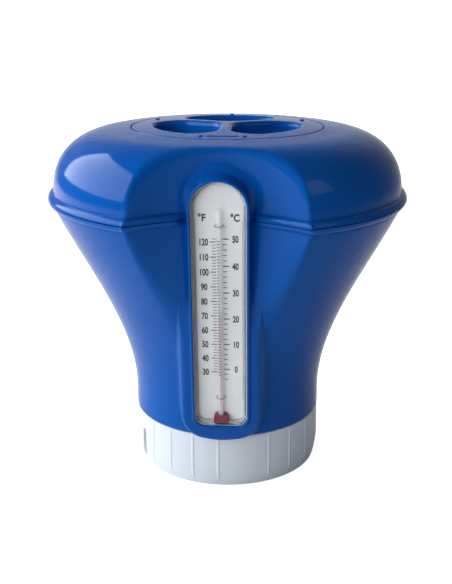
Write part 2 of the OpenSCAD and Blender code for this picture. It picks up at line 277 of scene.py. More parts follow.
def block(low, high):
    """The eight corners and six sides of a box."""
    corners = np.array([[(low, high)[i][0], (low, high)[j][1], (low, high)[k][2]]
                        for i in (0, 1) for j in (0, 1) for k in (0, 1)], float)
    sides = np.array([[0, 1, 3, 2], [4, 6, 7, 5], [0, 4, 5, 1], [2, 3, 7, 6], [0, 2, 6, 4], [1, 5, 7, 3]])
    return corners, sides


def make_piece(name, points, faces, material, body, replaces=(), crease=35.0, weld=0.004):
    """Writes points (mm) and quads to a mesh, closes its seams and poles and gives it its place."""
    points = np.asarray(points, float).reshape(-1, 3) * MM
    faces = np.asarray(faces, np.int32)
    mesh = bpy.data.meshes.new(name)
    mesh.vertices.add(len(points))
    mesh.vertices.foreach_set("co", points.astype(np.float32).ravel())
    mesh.loops.add(faces.size)
    mesh.loops.foreach_set("vertex_index", faces.ravel())
    mesh.polygons.add(len(faces))
    mesh.polygons.foreach_set("loop_start", np.arange(0, faces.size, faces.shape[1], dtype=np.int32))
    mesh.update(calc_edges=True)
    edit = bmesh.new()
    edit.from_mesh(mesh)
    bmesh.ops.remove_doubles(edit, verts=edit.verts, dist=weld * MM)
    bmesh.ops.dissolve_degenerate(edit, edges=edit.edges, dist=weld * MM * 0.1)
    bmesh.ops.recalc_face_normals(edit, faces=edit.faces)
    edit.to_mesh(mesh)
    edit.free()
    mesh.validate()
    mesh.shade_smooth()
    mesh.set_sharp_from_angle(angle=math.radians(crease))
    mesh.materials.append(material)
    piece = bpy.data.objects.new(name, mesh)
    bpy.context.scene.collection.objects.link(piece)
    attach(piece, body)
    if replaces:
        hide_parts(*replaces)
    return piece


# ---------------------------------------------------------------- shape of the shells

def scoop_reach(angle, height, grow=0.0):
    """Distance from the axis to the scoop's wall along a ray, or far away where the ray misses.

    The scoop is a leaning round column, so at each height the ray meets a circle.
    """
    centre = SCOOP_Y + (height - SEAM_Z) * math.tan(SCOOP_LEAN)
    under = (SCOOP_R + grow) ** 2 - (centre * np.sin(angle)) ** 2
    meets = (under > 0) & (np.cos(angle) > 0)
    return np.where(meets, centre * np.cos(angle) - np.sqrt(np.clip(under, 0, None)), 1000.0)


def outer_profile():
    """Radius against height of the float without its scoop, from the neck to the crown."""
    neck = np.array([[NECK_R, NECK_Z - 5], [NECK_R, FLARE_Z - 0.01]])
    return np.concatenate([neck, bezier(FLANK, 120), bezier(DOME, 120)])


PROFILE = outer_profile()


def shell_radius(angle, height, softness):
    """Radius of the outer surface at an angle and a height, with the scoop blended in."""
    turned_r = np.interp(height, PROFILE[:, 1], PROFILE[:, 0])
    return soft_min(turned_r, scoop_reach(angle, height), softness)


def on_face(x, depth, up):
    """Points of the thermometer's leaning frame in the object's frame."""
    s, c = math.sin(LEAN), math.cos(LEAN)
    return np.stack([x + 0 * depth, -FOOT_Y + depth * c - up * s, FOOT_Z + depth * s + up * c], -1)


def depth_of_shell(x, up, softness):
    """Depth below the thermometer's face at which the shell lies, by halving an interval."""
    near, away = np.full(x.shape, -3.0), np.full(x.shape, 30.0)
    for _ in range(36):
        middle = (near + away) / 2
        p = on_face(x, middle, up)
        angle = np.arctan2(p[..., 0], -p[..., 1])
        inside = shell_radius(angle, p[..., 2], softness) > np.hypot(p[..., 0], p[..., 1])
        away = np.where(inside, middle, away)
        near = np.where(inside, near, middle)
    return away


def arch_path(half, length, corner, straight):
    """Points and outward normals round the cover's outline, from the middle of its foot.

    The straight argument holds the heights of the points on each long side.
    """
    s, c = quarter(10)
    bottom = np.linspace(0, half - corner, 8)[:-1]
    turn = np.linspace(0, math.pi, 61)[1:-1]
    right = [(bottom, 0 * bottom, 0 * bottom, 0 * bottom - 1),
             (half - corner + corner * s, corner - corner * c, s, -c),
             (0 * straight + half, straight, 0 * straight + 1, 0 * straight)]
    top = (half * np.cos(turn), length - half + half * np.sin(turn), np.cos(turn), np.sin(turn))
    parts = right + [top] + [(-x[::-1], up[::-1], -nx[::-1], nup[::-1]) for x, up, nx, nup in right[::-1]]
    x, up, nx, nup = (np.concatenate([p[k] for p in parts]) for k in range(4))
    keep = np.ones(len(x), bool)
    keep[-1] = False                       # the last point is the first again
    return x[keep], up[keep], nx[keep], nup[keep]


def front_angles():
    """Angles round the float: close together across the scoop, wider apart behind it."""
    edge = math.radians(48)
    front = np.linspace(-edge, edge, 231)
    back = np.linspace(edge, 2 * math.pi - edge, 171)[1:-1]
    return np.concatenate([front, back])


def pocket_limit(angle, radius, height):
    """Radius that keeps the shell behind the thermometer's pocket, inside its outline."""
    x = radius * np.sin(angle)
    top = FOOT_Z + (COVER_LEN - COVER_HALF) * math.cos(LEAN)
    arch = np.sqrt(np.clip((COVER_HALF + 1) ** 2 - np.clip(height - top, 0, None) ** 2, 0, None))
    inside = (np.abs(x) < arch) & (np.cos(angle) > 0) & (height > FOOT_Z - 0.8)
    back = FOOT_Y + (height - FOOT_Z) * math.tan(LEAN) - (POCKET_DEPTH + 0.3)
    return np.where(inside, np.minimum(radius, back / np.cos(angle)), radius)


def shell_points(outside, inside, softness):
    """Carries a closed profile round the float, with the scoop blended into both walls.

    Each outside row is (radius, height, bead), each inside row is (radius, height).
    """
    angle = front_angles()[:, None]
    r, z, bead = (outside[:, k][None] for k in range(3))
    radius = soft_min(r + 0 * angle, scoop_reach(angle, z), softness)
    slope = np.gradient(radius, front_angles(), axis=0) / radius
    reach = np.abs(radius * np.sin(angle))
    ends = np.where(np.cos(angle) > 0, np.sqrt(smooth(14.4, 17.0, reach)), 1.0)
    radius = radius + bead * ends * np.clip(np.sqrt(1 + slope ** 2), 1, 1.7)
    radius = pocket_limit(angle, radius, z + 0 * angle)
    outer = polar(radius, angle, z)
    r, z = inside[:, 0][None], inside[:, 1][None]
    radius = soft_min(r + 0 * angle, scoop_reach(angle, z, WALL), softness)
    radius = np.where(r > NECK_R, np.minimum(radius, pocket_limit(angle, radius, z + 0 * angle) - 0.2), r)
    points = np.concatenate([outer, polar(radius, angle, z)], 1)
    return points, grid_faces(points.shape[0], points.shape[1], True, True)


def bead_rows(side):
    """Rows of the half-round bead, from the parting line outwards: float radius, height, proud."""
    start = math.asin(SEAM_GAP / 2 / BEAD_R)
    a = np.linspace(start, math.radians(80), 14)
    proud = BEAD_R * np.cos(a) - BEAD_SINK
    rows = np.stack([0 * a + FLOAT_R, SEAM_Z + side * BEAD_R * np.sin(a), proud], 1)
    lip = [[FLOAT_R, SEAM_Z + side * SEAM_GAP / 2, proud[0] - 1.2],
           [FLOAT_R, SEAM_Z + side * SEAM_GAP / 2, proud[0] - 0.25]]
    foot = [[FLOAT_R, SEAM_Z + side * (BEAD_R + 0.12), 0.12], [FLOAT_R, SEAM_Z + side * (BEAD_R + 0.4), 0.0]]
    return np.concatenate([lip, rows, foot])


def with_bead(rows, curve):
    """Bead rows followed by the rows of a curve that has no bead."""
    return np.concatenate([rows, np.column_stack([curve, np.zeros(len(curve))])])


class POOL_OT_shells(Operator):
    """Build the two shells: turned walls, with the scoop, the bead and the lid's mouth"""
    bl_idname = "pool.shells"
    bl_label = "Shells"

    def execute(self, context):
        settings = context.scene.pool_float
        softness = settings.rim_softness / MM
        blue = shell_material(settings.colour)
        s, c = quarter(6)
        # upper shell: bead, dome, rounded mouth, mouth wall, ledge, then the hidden side back
        edge = 0.7
        crown_run = np.linspace(MOUTH_R + CROWN_FLAT, MOUTH_R + edge, 10)[1:-1]
        flat = np.stack([crown_run, CROWN_Z - (crown_run - MOUTH_R) / CROWN_FLAT], 1)
        lip = np.stack([MOUTH_R + edge - edge * s, CROWN_Z - edge + edge * c - 0.05], 1)
        ledge_bore, hidden = TUBE_R - 1.6, MOUTH_R + 2.4
        wall = [[MOUTH_R, CROWN_Z - 2], [MOUTH_R, CROWN_Z - 6], [MOUTH_R, LEDGE_Z + LEDGE_T],
                [ledge_bore, LEDGE_Z + LEDGE_T], [ledge_bore, LEDGE_Z], [hidden, LEDGE_Z],
                [hidden, CROWN_Z - 4.2]]
        outside = with_bead(bead_rows(1), np.concatenate([bezier(DOME, 84), flat, lip, wall]))
        inside = inset_curve(DOME, 26, WALL)[::-1]
        inside = np.concatenate([inside, [[FLOAT_R - WALL, SEAM_Z + SEAM_GAP / 2]]])
        points, faces = shell_points(outside, inside, softness)
        hooks = [turned_part(p, a0, a1) for p, a0, a1 in lid_hooks()]
        points, faces = join([(points, faces)] + hooks)
        make_piece("dome_shell", points, faces, blue, "root", ["upper_shell"])
        # lower shell: bead, flank, neck, rounded lower edge, neck bore, then the hidden side back
        flank = bezier(FLANK, 130)[::-1]
        edge = 0.6
        neck = [[NECK_R, FLARE_Z - 3], [NECK_R, NECK_Z + edge + 0.5]]
        foot = np.stack([NECK_R - edge + edge * c, NECK_Z + edge - edge * s], 1)
        bore = [[NECK_BORE_R, NECK_Z], [NECK_BORE_R, FLARE_Z]]
        outside = with_bead(bead_rows(-1), np.concatenate([flank, neck, foot, bore]))
        inside = inset_curve(FLANK, 34, WALL)[1:]
        inside = np.concatenate([inside, [[FLOAT_R - WALL, SEAM_Z - SEAM_GAP / 2]]])
        points, faces = shell_points(outside, inside, softness)
        make_piece("flared_shell", points, faces, blue, "root", ["lower_shell"])
        return {"FINISHED"}


def turned_part(profile, start, end, count=14):
    """A closed profile of four corners carried through part of a turn about Z, with flat ends."""
    profile = np.asarray(profile, float)
    a = np.linspace(start, end, count)[:, None]
    points = polar(profile[:, 0][None], a, profile[:, 1][None]).reshape(-1, 3)
    n = len(profile)
    caps = np.array([[0, 1, 2, 3], [n * (count - 1) + k for k in (3, 2, 1, 0)]])
    return points, np.concatenate([grid_faces(count, n, False, True), caps])


# The lid's lugs and the hooks above them
LUG_LOW = 3.2
LUG_TOP = 5.8
LUG_GAP = 0.3
LIFT_PER_DEGREE = 0.125
HOOK_STEP = 10.0
HOOK_HALF = 15.5
HOOK_T = 2.4
HOOK_LAP = 0.5
HOOK_REACH = 2.0


def lid_hooks():
    """Profile and angles of the three hooks in the mouth. Each climbs in three steps."""
    for k in range(3):
        for i in range(3):
            start = 120 * k + 180 + HOOK_STEP * i - HOOK_HALF
            low = SKIRT_Z + LUG_TOP + LUG_GAP + LIFT_PER_DEGREE * HOOK_STEP * i
            high, root, tip = low + HOOK_T, MOUTH_R + HOOK_LAP, MOUTH_R - HOOK_REACH
            profile = [[root, low], [tip, low], [tip, high], [root, high]]
            yield profile, math.radians(start), math.radians(start + HOOK_STEP + 0.5)


class POOL_OT_housing(Operator):
    """Build the boss and the raised collar that hold the thermometer"""
    bl_idname = "pool.housing"
    bl_label = "Thermometer housing"

    def execute(self, context):
        settings = context.scene.pool_float
        softness = settings.rim_softness / MM
        collar = settings.collar / MM
        step = 0.04
        seam_up = (SEAM_Z - FOOT_Z) / math.cos(LEAN)
        sides = np.concatenate([np.linspace(FOOT_CORNER, seam_up - 2, 74)[1:],
                                seam_up + np.array([-1, -0.24, -0.24 + step, 0.24 - step, 0.24, 1]),
                                np.linspace(seam_up + 2, COVER_LEN - COVER_HALF, 8)])
        x, up, nx, nup = arch_path(COVER_HALF, COVER_LEN, FOOT_CORNER, sides)
        sunk = smooth(46, 64, up)                       # 0 where the boss stands out, 1 where it has sunk in
        drop = np.clip(-nup, 0, 1) * (2.5 - 1.7 * (x / COVER_HALF) ** 2)
        width = settings.boss_half / MM - COVER_HALF + drop
        level = smooth(6, 14, up) * (1 - smooth(COVER_LEN - COVER_HALF - 5, COVER_LEN - COVER_HALF, up))
        face = 0.5

        def shell_below(q):
            return depth_of_shell(x + nx * q, up + nup * q, softness)

        def base(q):
            return face + (shell_below(q) + 0.15 - face) * sunk

        room = np.clip(shell_below(width) - base(width), 0.05, None)
        radius = np.minimum(settings.fillet / MM, 0.5 * room) * (1 - 0.9 * np.clip(-nup, 0, 1))
        round_r = np.minimum(2.4, 0.6 * room)
        lip = 0.6
        proud = -0.8
        s, c = quarter(5)
        edge = [(POCKET_FIT, POCKET_DEPTH + 0.3), (POCKET_FIT, proud + lip)]
        edge += [(POCKET_FIT + lip * (1 - c[k]), proud + lip * (1 - s[k])) for k in range(1, 5)]
        edge += [(collar - lip + lip * s[k], proud + lip * (1 - c[k])) for k in range(5)]
        rows = [(out + 0 * x, depth + 0 * x) for out, depth in edge]
        # from the collar's side down to the boss, or to the shell where the boss has sunk in
        foot_r = np.minimum(1.0, 0.7 * (base(collar) + 0.2))
        near, away = base(collar), base(collar + foot_r)
        rows += [(collar + foot_r * t * t, bend(near - foot_r, near, away, t)) for t in np.linspace(0, 1, 6)]
        flat_start, flat_end = collar + foot_r, width - round_r
        for k in (0.3, 0.65, 1.0):
            across = flat_start + (flat_end - flat_start) * k
            rows.append((across, base(across)))
        s, c = quarter(8)
        edge = base(flat_end)
        rows += [(flat_end + round_r * s[k], edge + round_r * (1 - c[k])) for k in range(1, 8)]
        foot = shell_below(width) - radius
        out = shell_below(width + radius)
        rows += [(width, (edge + round_r) * (1 - k) + foot * k) for k in (0.35, 0.7, 1.0)]
        slope = (shell_below(width + radius + 0.2) - out) / 0.2
        knee = np.clip(out - slope * radius, foot, None)
        rows += [(width + radius * t * t, bend(foot, knee, out + 0.03, t)) for t in np.linspace(0, 1, 9)[1:]]
        rows.append((width + radius + 0.2, out + 1.2))
        q = np.stack([r[0] for r in rows], 1)
        depth = np.stack([r[1] for r in rows], 1)
        # the parting line goes on across the collar as a narrow groove
        groove = (np.abs(up - seam_up) < 0.23)[:, None] & (np.arange(q.shape[1]) > 1)[None]
        q = np.where(groove, np.maximum(q - 0.4, POCKET_FIT), q)
        depth = np.where(groove, depth + 0.4, depth)
        up_here = up[:, None] + nup[:, None] * q - depth * math.tan(LEAN) * level[:, None]
        points = on_face(x[:, None] + nx[:, None] * q, depth, up_here)
        radius = np.hypot(points[..., 0], points[..., 1])
        clear_of_ring = np.where(points[..., 2] < NECK_Z + 0.3, np.maximum(radius, TUBE_R + 3.4), radius)
        points[..., :2] *= (clear_of_ring / radius)[..., None]
        faces = grid_faces(points.shape[0], points.shape[1], True, True)
        blue = shell_material(settings.colour)
        make_piece("thermometer_housing", points, faces, blue, "root")
        return {"FINISHED"}


# ---------------------------------------------------------------- lid

HUB = 21.0
WELL_REACH = 34.0
WELL_CORNER = 10.0
LID_WALL = 1.8
LID_EDGE_T = 2.2
LID_RISE = LID_HIGH[2] - CROWN_Z
AT_HUB = -30.0                              # the grow of a row that has shrunk to its hub
MARK_Y = -38.4
MARK_HALF = 7.6
DOT_R = 39.6


def lid_top(x, y):
    """Height of the lid's slightly domed top."""
    return CROWN_Z + LID_RISE * (1 - (x * x + y * y) / LID_R ** 2)


def well_core(ridge):
    """Corners of the outline that a well's rounded edge keeps its corner radius from."""
    lean_in = ridge / 2 + WELL_CORNER
    reach = WELL_REACH - WELL_CORNER
    spread = math.radians(60) - math.asin(lean_in / reach)
    a = np.linspace(-spread, spread, 25)
    arc = np.stack([reach * np.cos(a), reach * np.sin(a)], 1)
    return np.concatenate([[[lean_in / math.sin(math.radians(60)), 0]], arc])


def core_distance(points, core):
    """Distance outside a convex outline, below zero inside it."""
    start, end = core, np.roll(core, -1, 0)
    edge = end - start
    along = np.clip(((points[..., None, :] - start) * edge).sum(-1) / (edge ** 2).sum(-1), 0, 1)
    nearest = start + along[..., None] * edge
    away = np.linalg.norm(points[..., None, :] - nearest, axis=-1).min(-1)
    run = points[..., None, :] - start
    side = edge[:, 0] * run[..., 1] - edge[:, 1] * run[..., 0]
    return np.where((side > 0).all(-1), -away, away)


def outline_reach(angle, grow, core):
    """Distance from the hub to the well's outline grown by an amount, by halving an interval."""
    low, high = np.zeros(angle.shape), np.full(angle.shape, 40.0)
    ray = np.stack([np.cos(angle), np.sin(angle)], -1)
    for _ in range(34):
        middle = (low + high) / 2
        outside = core_distance(np.array([HUB, 0.0]) + middle[..., None] * ray, core) > WELL_CORNER + grow
        high = np.where(outside, middle, high)
        low = np.where(outside, low, middle)
    return low


def sector_angles(rim):
    """Rays from a well's hub, with one on each corner of its third of the lid. Also counts the rim's."""
    corner = math.atan2(rim * math.sin(math.radians(60)), rim * math.cos(math.radians(60)) - HUB)
    across = np.linspace(-corner, corner, 97)
    side = np.linspace(corner, math.pi, 49)[1:]
    back = np.linspace(-math.pi, -corner, 49)[1:-1]
    return np.concatenate([across, side, back]), 97


def sector_edge(angle, rim):
    """Distance from the hub to the edge of its third: the rim's circle or the nearer ridge line."""
    circle = -HUB * np.cos(angle) + np.sqrt(rim ** 2 - (HUB * np.sin(angle)) ** 2)
    lean = np.abs(np.sin(angle)) - math.sqrt(3) * np.cos(angle)
    line = np.where(lean > 1e-6, math.sqrt(3) * HUB / np.where(lean > 1e-6, lean, 1), 1000.0)
    return np.minimum(circle, line)


def lid_sheet(rows, rim, core):
    """One third of a sheet as a grid of rays from the hub.

    A row is (grow, depth, blend to the edge, under).
    """
    angle, across = sector_angles(rim)
    edge = sector_edge(angle, rim)
    least = 0.6 - WELL_CORNER
    u, v, z = [], [], []
    for grow, depth, blend, under in rows:
        reach = outline_reach(angle, max(grow, least), core)
        if grow < least:                                    # rows of the floor shrink to the hub
            reach = reach * (grow - AT_HUB) / (least - AT_HUB)
        reach = reach + (edge - reach) * blend
        x, y = HUB + reach * np.cos(angle), reach * np.sin(angle)
        top = lid_top(x, y)
        flat = CROWN_Z - LID_EDGE_T
        u.append(x)
        v.append(y)
        z.append(np.where(under, np.minimum(flat, top - depth), top - depth) if depth < 5
                 else 0 * x + CROWN_Z - depth)
    return np.stack(u), np.stack(v), np.stack(z), across


class POOL_OT_lid(Operator):
    """Build the lid: three finger wells with rounded lips, marks, the skirt and its lugs"""
    bl_idname = "pool.lid"
    bl_label = "Lid"

    def execute(self, context):
        settings = context.scene.pool_lid
        depth, lip = settings.well_depth / MM, settings.lip / MM
        core = well_core(settings.ridge / MM)
        round_r = 0.7
        rim = LID_R - round_r
        fillet, draft = 3.0, 1.4
        under_z = CROWN_Z - LID_EDGE_T
        s, c = quarter(7)
        rows = [(grow, depth, 0, False) for grow in (AT_HUB + 0.01, -26, -20, -14, -9)]
        rows += [(fillet * (s[k] - 1) - draft, depth + fillet * (c[k] - 1), 0, False) for k in range(7)]
        wall_z = np.linspace(depth - fillet, lip + 0.4, 6)[1:]
        rows += [(-draft * (z - lip) / (depth - lip), z, 0, False) for z in wall_z if z > 5]
        top_rows = [(lip * (1 - c[k]), lip * (1 - s[k]), 0, False) for k in range(7)]
        top_rows += [(lip, 0, b, False) for b in (0.12, 0.3, 0.5, 0.72, 1.0)]
        under_rows = [(lip, LID_WALL, b, True) for b in (1.0, 0.5, 0.2)]
        under_rows += [(LID_WALL + 0.4, LID_WALL + 1.2, 0, True), (LID_WALL, depth - 2, 0, True),
                       (LID_WALL - 2.5, depth + LID_WALL, 0, True), (-9, depth + LID_WALL, 0, True),
                       (AT_HUB + 0.01, depth + LID_WALL, 0, True)]
        parts = []
        for k in range(3):
            turn = math.radians(180 + 120 * k)
            for sheet in (rows + top_rows, under_rows):
                u, v, z, across = lid_sheet(sheet, rim, core)
                points = np.stack([u * math.sin(turn) + v * math.cos(turn),
                                   -u * math.cos(turn) + v * math.sin(turn), z], -1)
                parts.append((points, grid_faces(points.shape[0], points.shape[1], False, True)))
            # the rim between the two sheets
            angle = sector_angles(rim)[0][:across]
            reach = sector_edge(angle, rim)
            place = np.arctan2(reach * np.sin(angle), HUB + reach * np.cos(angle)) + turn
            top = lid_top(rim, 0)
            band = [(rim, top)] + [(rim + round_r * s[i], top - round_r * (1 - c[i])) for i in range(1, 7)]
            band += [(LID_R, CROWN_Z - 1.6), (LID_R - 0.2, under_z), (rim, under_z)]
            band = np.array(band)
            points = polar(band[:, 0][:, None], place, band[:, 1][:, None])
            parts.append((points, grid_faces(len(band), across)))
        skirt_out, edge = LID_R - 2.05, 0.3
        skirt_in = skirt_out - LID_WALL
        parts.append(turned([(skirt_in, under_z - 0.02), (skirt_out, under_z - 0.02),
                             (skirt_out, SKIRT_Z + edge), (skirt_out - edge, SKIRT_Z),
                             (skirt_in + edge, SKIRT_Z), (skirt_in, SKIRT_Z + edge)], 180, True))
        lug_in, lug_out = skirt_out - 0.6, LID_R - 0.1
        for k in range(3):
            profile = [[lug_in, SKIRT_Z + LUG_LOW], [lug_out, SKIRT_Z + LUG_LOW + 0.2],
                       [lug_out, SKIRT_Z + LUG_TOP - 0.2], [lug_in, SKIRT_Z + LUG_TOP]]
            middle = 120 * k + 180
            parts.append(turned_part(profile, math.radians(middle - 5), math.radians(middle + 5), 9))
        parts += lid_marks()
        points, faces = join(parts)
        make_piece("screw_lid", points, faces, shell_material(context.scene.pool_float.colour), "lid_body",
                   ["lid"], weld=0.01)
        return {"FINISHED"}


def lid_marks():
    """Small raised marks by the rim: a line between two dots in front, and three more dots."""
    s, c = quarter(6)
    parts = []
    dots = [(-MARK_HALF - 2, MARK_Y), (MARK_HALF + 2, MARK_Y)]
    dots += [(DOT_R * math.sin(a), -DOT_R * math.cos(a)) for a in np.radians((180, 117, -117))]
    for x, y in dots:
        top = lid_top(x, y)
        profile = [(0.0, top - 0.4), (1.1, top - 0.4)]
        profile += [(0.5 + 0.6 * c[k], top + 0.1 + 0.45 * s[k]) for k in range(6)] + [(0.0, top + 0.58)]
        points, faces = turned(profile, 24)
        parts.append((points + np.array([x, y, 0]), faces))
    # the line: a low half-round bar, carried along x
    x = np.linspace(-MARK_HALF, MARK_HALF, 24)[:, None]
    a = np.linspace(0, math.pi, 9)[None]
    ends = np.sqrt(np.clip(1 - (np.abs(x) / MARK_HALF) ** 8, 0, 1))
    y = MARK_Y + 0.45 * np.cos(a) * ends
    z = lid_top(x, MARK_Y) - 0.02 + 0.32 * np.sin(a) * ends
    low = np.stack([x, MARK_Y + 0 * x, lid_top(x, MARK_Y) - 0.4], -1)
    points = np.concatenate([np.stack([x + 0 * a, y, z], -1), low], 1)
    parts.append((points, grid_faces(24, 10, False, True)))
    return parts


# ---------------------------------------------------------------- flow ring

VENT_HALF = 1.85
VENT_LOW = 3.4
VENT_H = 13.5
VENT_MIDDLE = VENT_LOW + VENT_H / 2
VENT_TURNS = [-61.9 - 360 / 23 * k + side for side in (0, 180) for k in range(3)]


def stadium_loop(side, up, grow):
    """Points of a slot's outline nearest to the given ones, grown by an amount."""
    straight = VENT_H / 2 - VENT_HALF
    core = np.clip(up, -straight, straight)
    reach = np.hypot(side, up - core)
    return side / reach * (VENT_HALF + grow), core + (up - core) / reach * (VENT_HALF + grow)


class POOL_OT_ring(Operator):
    """Build the flow ring: a sleeve with soft grip ribs and rounded vent windows"""
    bl_idname = "pool.ring"
    bl_label = "Flow ring"

    def execute(self, context):
        settings = context.scene.pool_ring
        count = 1081
        step = 2 * math.pi / count
        angle = math.radians(VENT_TURNS[0]) + step * np.arange(count)
        low_z, high_z = RING_LOW[2], RING_HIGH[2]
        out_r, in_r = TUBE_R + 2.55, TUBE_R + 0.35
        grate_r = in_r + 1.15
        s, c = quarter(7)
        foot, edge, taper = 1.0, 0.45, 1.1
        body_z = np.concatenate([np.linspace(low_z + foot, VENT_LOW - 0.9, 4),
                                 np.linspace(VENT_LOW - 0.9, VENT_LOW + VENT_H + 0.9, 16)[1:],
                                 np.linspace(VENT_LOW + VENT_H + 0.9, high_z - edge, 6)[1:]])
        first, last = 3, 18                     # rows of body_z that the windows' cut-outs span
        profile = [(grate_r, low_z), (out_r - foot, low_z)]
        profile += [(out_r - foot + foot * s[k], low_z + foot - foot * c[k]) for k in range(1, 6)]
        before = len(profile)
        profile += [(out_r, z) for z in body_z]
        profile += [(out_r - edge + edge * c[k], high_z - edge + edge * s[k]) for k in (2, 4, 6)]
        profile += [(in_r + 0.3, high_z), (in_r, high_z - 0.3)]
        inner = len(profile)
        profile += [(in_r, z) for z in body_z[first:-1][::-1]]
        profile += [(grate_r, body_z[first])]
        profile = np.array(profile)
        r = profile[:, 0][None] + 0 * angle[:, None]
        z = profile[:, 1][None] + 0 * angle[:, None]
        # ribs: a raised cosine across each, fading at its ends, and none beside a window
        rib_start, rib_half, clear_half = 2.2, 0.85, 3.9
        pitch = 360 / settings.rib_count
        turn = (np.degrees(angle) + rib_start) / pitch
        nearest = np.round(turn)
        from_rib = (turn - nearest) * math.radians(pitch) * out_r
        shown = (nearest % settings.rib_count) != 1
        across = np.where(shown, 0.5 + 0.5 * np.cos(np.clip(from_rib / rib_half, -1, 1) * math.pi), 0)
        window = np.zeros(count)
        for t in VENT_TURNS:
            away = np.abs((np.degrees(angle) - t + 180) % 360 - 180)
            window = np.maximum(window, away < clear_half)
        along = smooth(3.0, 3.9, z) * (1 - smooth(high_z - 1.4, high_z - 0.7, z))
        r = r + settings.rib_height / MM * (across * (1 - window))[:, None] * along * (r > out_r - 0.2)

        def drawn_in(height):
            """How far the outside draws in towards the foot."""
            return taper * (1 - smooth(low_z - 1, low_z + 7, height))

        r = r - np.where(r > out_r - foot - 0.1, drawn_in(z), 0)
        points = polar(r, angle[:, None], z)
        rows = points.shape[1]
        faces = grid_faces(count, rows, True, True)
        cell_i, cell_j = faces[:, 0] // rows, faces[:, 0] % rows
        keep = np.ones(len(faces), bool)
        parts = []
        half = 11
        out_j = (before + first, before + last)
        in_j = (inner + len(body_z) - 2 - last, inner + len(body_z) - 2 - first)
        for t in VENT_TURNS:
            middle = int(round(((t - VENT_TURNS[0]) % 360) / 360 * count)) % count
            i = (middle + np.arange(-half, half + 1)) % count
            inside = np.isin(cell_i, i[:-1])
            for a, b in (out_j, in_j):
                keep &= ~(inside & (cell_j >= a) & (cell_j < b))
            loops = []
            for j0, j1 in (out_j, (in_j[1], in_j[0])):
                j = np.arange(j0, j1 + 1) if j1 > j0 else np.arange(j0, j1 - 1, -1)
                ii = np.concatenate([i, np.full(len(j) - 2, i[-1]), i[::-1], np.full(len(j) - 2, i[0])])
                jj = np.concatenate([np.full(len(i), j[0]), j[1:-1], np.full(len(i), j[-1]), j[1:-1][::-1]])
                loops.append(points[ii, jj])
            border = loops[0]
            turn = np.arctan2(border[:, 0], -border[:, 1]) - math.radians(t)
            side = ((turn + math.pi) % (2 * math.pi) - math.pi) * out_r
            up = border[:, 2] - VENT_MIDDLE
            rings = [border]
            lip = 0.5
            for k in range(7):
                a, b = stadium_loop(side, up, lip * (1 - s[k]))
                radius = out_r - lip * (1 - c[k]) - drawn_in(b + VENT_MIDDLE)
                rings.append(self.on_ring(a, b, t, radius, out_r))
            rings.append(self.on_ring(a, b, t, in_r, out_r))
            rings.append(loops[1])
            rings = np.stack(rings)
            parts.append((rings, grid_faces(rings.shape[0], rings.shape[1], False, True)))
        points, faces = join([(points, faces[keep])] + parts)
        make_piece("vent_ring", points, faces, ring_material(settings.colour), "ring_body",
                   ["flow_ring"], crease=50)
        return {"FINISHED"}

    @staticmethod
    def on_ring(side, up, turn, radius, out_r):
        """Points on a round wall from a place along its outer surface and a height."""
        return polar(radius, math.radians(turn) + side / out_r, up + VENT_MIDDLE)


# ---------------------------------------------------------------- thermometer

ZERO_UP = 27.0
DEGREE = 1.262
TUBE_DEPTH = 2.85
TUBE_GLASS_R = 1.35
INK_T = 0.05


class POOL_OT_cover(Operator):
    """Build the clear cover: a shallow box with a rounded edge and a slightly crowned front"""
    bl_idname = "pool.cover"
    bl_label = "Clear cover"

    def execute(self, context):
        sides = np.linspace(FOOT_CORNER, COVER_LEN - COVER_HALF, 60)[1:]
        x, up, nx, nup = arch_path(COVER_HALF, COVER_LEN, FOOT_CORNER, sides)
        spine = np.clip(up, COVER_HALF, COVER_LEN - COVER_HALF)
        s, c = quarter(6)
        bevel, wall, crown, inner = 0.8, 0.9, 0.25, 1.7
        rows = []
        for t in np.linspace(1, 0, 9):                      # crowned front, from the spine outwards
            px, pup = x - nx * bevel, up - nup * bevel
            rows.append((px * (1 - t), spine + (pup - spine) * (1 - t), -crown * (1 - (1 - t) ** 2)))
        for k in range(1, 6):
            inwards = bevel * (1 - s[k])
            rows.append((x - nx * inwards, up - nup * inwards, bevel * (1 - c[k])))
        rows += [(x, up, COVER_DEPTH - 0.2), (x - nx * 0.2, up - nup * 0.2, COVER_DEPTH),
                 (x - nx * wall, up - nup * wall, COVER_DEPTH), (x - nx * wall, up - nup * wall, 1.8),
                 (x - nx * 1.2, up - nup * 1.2, 1.15), (x - nx * inner, up - nup * inner, wall)]
        for t in np.linspace(0, 1, 7)[1:]:
            px, pup = x - nx * inner, up - nup * inner
            rows.append((px * (1 - t), spine + (pup - spine) * (1 - t), wall))
        points = np.stack([on_face(a, np.asarray(d) + 0 * a, b) for a, b, d in rows], 1)
        faces = grid_faces(points.shape[0], points.shape[1], True, False)
        make_piece("clear_cover", points, faces, cover_material(), "root",
                   ["window_cover"], crease=60)
        # the pale foam strip round the cover's sides and under its rim
        strip = [(0.03, 0.4), (0.11, 0.4), (0.11, POCKET_DEPTH - 0.02), (-1.9, POCKET_DEPTH - 0.02),
                 (-1.9, COVER_DEPTH + 0.03), (0.03, COVER_DEPTH + 0.03)]
        points = np.stack([on_face(x + nx * out, depth + 0 * x, up + nup * out) for out, depth in strip], 1)
        faces = grid_faces(points.shape[0], points.shape[1], True, True)
        pale = card_material(context.scene.pool_scale.plate)
        make_piece("foam_strip", points, faces, pale, "root", ["window_gasket"])
        return {"FINISHED"}


